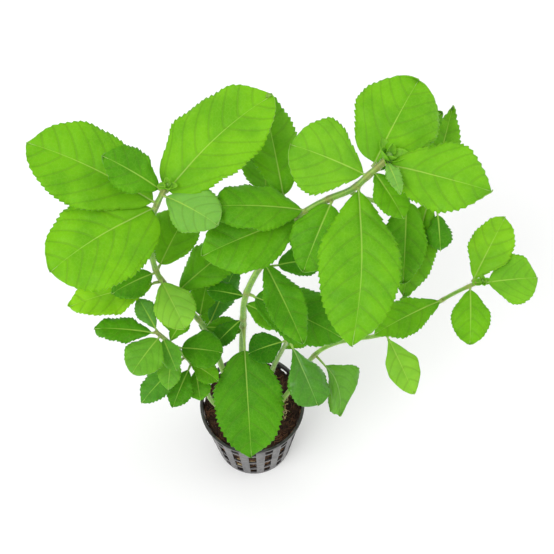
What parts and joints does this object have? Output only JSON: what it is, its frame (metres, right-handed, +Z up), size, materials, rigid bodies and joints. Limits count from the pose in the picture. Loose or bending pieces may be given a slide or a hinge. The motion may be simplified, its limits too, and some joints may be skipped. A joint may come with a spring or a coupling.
{
  "type": "potted water wisteria",
  "caption": "Leafy water wisteria plant in its broad-leaved form, with hairy upright stems rooted in a coir plug in a slotted net pot.",
  "frame": {"origin": "centre of the pot's underside, on the surface it stands on", "axes": "+Z up, -Y the side that the plant faces, +X to its right seen from the front"},
  "size_m": [0.1963, 0.11, 0.2215],
  "materials": {
    "pot_plastic": "dark grey moulded plastic with a soft sheen",
    "coir": "damp dark brown coconut fibre with paler loose fibres",
    "stem": "pale green ridged stem with fine white hairs, reddish at the nodes",
    "leaf": "fresh green blade with pale veins and a toothed margin, softly glossy",
    "young_leaf": "pale young leaf with fine hairs and a soft sheen"
  },
  "bodies": {
    "root": {"bud_left_shoot": "young_leaf", "bud_right_shoot": "young_leaf", "coir_plug": "coir", "leaf_branch_back": "leaf", "leaf_branch_curled": "leaf", "leaf_branch_lower": "leaf", "leaf_branch_shaded": "leaf", "leaf_left_crown_back": "leaf", "leaf_left_crown_front": "leaf", "leaf_left_crown_outer": "leaf", "leaf_left_crown_pale": "young_leaf", "leaf_left_crown_upper": "leaf", "leaf_left_stem_back": "leaf", "leaf_left_stem_centre": "leaf", "leaf_left_stem_dark": "leaf", "leaf_left_stem_inner": "leaf", "leaf_left_stem_light": "leaf", "leaf_left_stem_long": "leaf", "leaf_left_stem_small": "leaf", "leaf_left_stem_young": "young_leaf", "leaf_low_stem_front": "leaf", "leaf_low_stem_inner": "leaf", "leaf_low_stem_lower": "leaf", "leaf_low_stem_outer": "leaf", "leaf_low_stem_round": "leaf", "leaf_low_tip_back": "leaf", "leaf_low_tip_front": "leaf", "leaf_low_tip_inner": "leaf", "leaf_low_tip_outer": "leaf", "leaf_main_crown_back": "leaf", "leaf_main_crown_back_small": "leaf", "leaf_main_crown_front": "leaf", "leaf_main_crown_left": "leaf", "leaf_main_crown_right": "leaf", "leaf_main_crown_young": "young_leaf", "leaf_main_stem_back_lower": "leaf", "leaf_main_stem_back_upper": "leaf", "leaf_main_stem_broad": "leaf", "leaf_main_stem_dark": "leaf", "leaf_main_stem_front": "leaf", "leaf_main_stem_left": "leaf", "leaf_main_stem_left_lower": "leaf", "leaf_main_stem_left_under": "leaf", "leaf_main_stem_small": "leaf", "leaf_pot_front": "leaf", "leaf_right_stem_folded": "leaf", "leaf_right_stem_inner": "leaf", "leaf_right_stem_smooth": "young_leaf", "leaf_right_tip_back": "leaf", "leaf_right_tip_front": "leaf", "leaf_right_tip_outer": "leaf", "leaf_short_stem_glossy": "leaf", "leaf_short_stem_shaded": "leaf", "net_pot": "pot_plastic", "stem_branch": "stem", "stem_left": "stem", "stem_low": "stem", "stem_main": "stem", "stem_right": "stem", "stem_short": "stem"}
  },
  "joints": []
}
